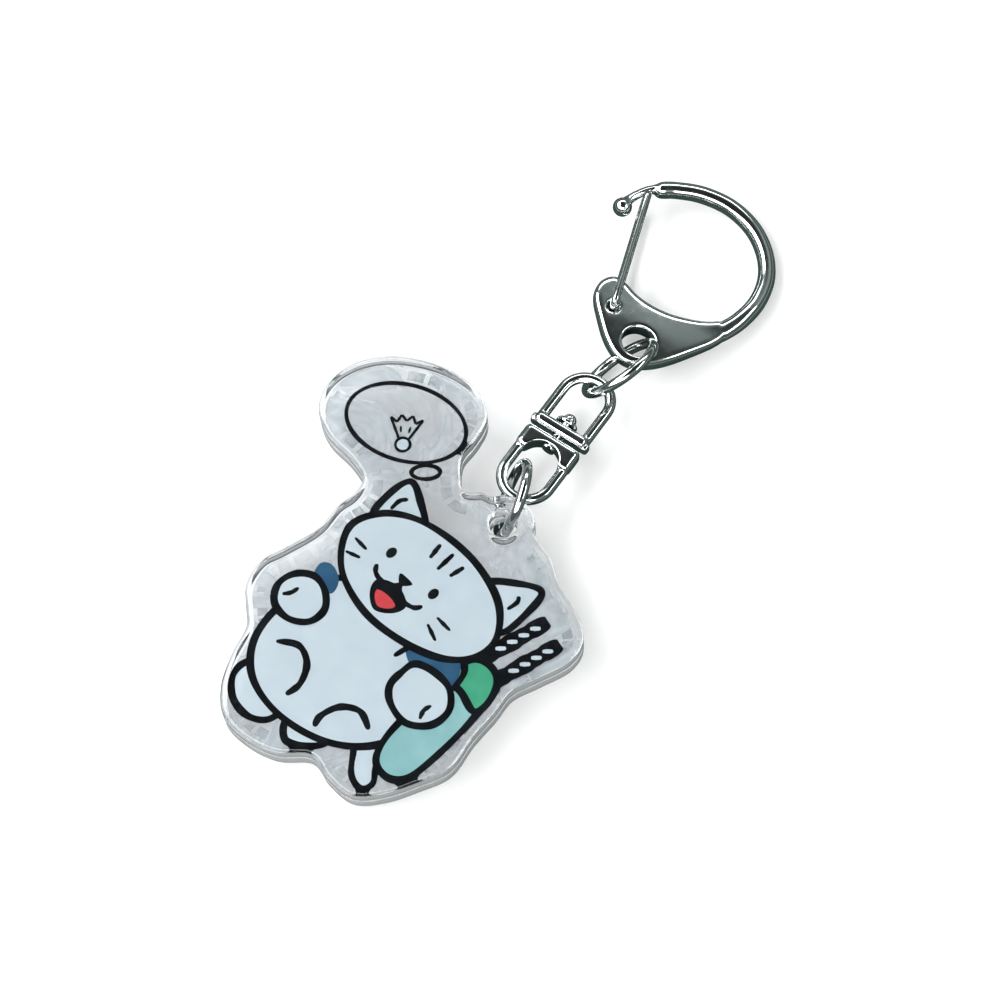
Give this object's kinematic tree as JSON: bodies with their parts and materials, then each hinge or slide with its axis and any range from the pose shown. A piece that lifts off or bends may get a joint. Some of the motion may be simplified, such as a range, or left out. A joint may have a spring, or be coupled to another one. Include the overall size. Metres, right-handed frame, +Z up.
{
  "type": "keychain",
  "caption": "Keychain with a clear laminated charm, a jump ring, a turning swivel link, a split ring and a D-shaped clasp with a wire gate.",
  "frame": {"origin": "middle of the underside of the bounding box, on the surface it lies on", "axes": "+Z up out of the surface it lies on, +Y towards the clasp end, +X towards the clasp's side"},
  "size_m": [0.0644, 0.0793, 0.0095],
  "materials": {
    "clear_acrylic": "polished clear acrylic, laser cut",
    "print_film": "printed film between the sheets",
    "ring_plating": "bright nickel-plated steel wire",
    "swivel_plating": "bright plated zinc casting",
    "clasp_plating": "bright plated zinc casting"
  },
  "bodies": {
    "charm": {"front_acrylic_sheet": "clear_acrylic", "printed_film": "print_film", "back_acrylic_sheet": "clear_acrylic"},
    "tab_ring": {"tab_jump_ring": "ring_plating"},
    "lower_link": {"swivel_lower_link": "swivel_plating", "swivel_rivet": "swivel_plating"},
    "upper_link": {"swivel_upper_link": "swivel_plating"},
    "upper_ring": {"clasp_ring": "ring_plating"},
    "clasp": {"clasp_hook": "clasp_plating"},
    "gate": {"clasp_gate_wire": "ring_plating"}
  },
  "joints": [
    {"name": "tab_swing", "type": "hinge", "parent": "charm", "child": "tab_ring", "pos_m": [-0.00057, -0.00747, 0.00443], "axis": [-0.037, -0.037, 0.9986], "range_deg": [-50, 10]},
    {"name": "ring_fold", "type": "hinge", "parent": "tab_ring", "child": "lower_link", "pos_m": [0.00049, -0.00382, 0.00484], "axis": [0.9256, -0.2137, -0.3123], "range_deg": [-10, 70]},
    {"name": "swivel_turn", "type": "hinge", "parent": "lower_link", "child": "upper_link", "pos_m": [0.00556, 0.00447, 0.00368], "axis": [0.5664, 0.8241, -0.007], "continuous": true},
    {"name": "upper_ring_swing", "type": "hinge", "parent": "upper_link", "child": "upper_ring", "pos_m": [0.00894, 0.00939, 0.00364], "axis": [0.004, 0.0058, 1], "range_deg": [-40, 40]},
    {"name": "clasp_fold", "type": "hinge", "parent": "upper_ring", "child": "clasp", "pos_m": [0.01304, 0.01314, 0.00464], "axis": [-0.5766, 0.5929, 0.5621], "range_deg": [-70, 40]},
    {"name": "gate_open", "type": "hinge", "parent": "clasp", "child": "gate", "pos_m": [0.01233, 0.02145, 0.00352], "axis": [-0.1236, -0.0112, -0.9923], "range_deg": [0, 28], "stiffness_Nm_per_rad": 0.01, "springref_deg": -11.46}
  ]
}
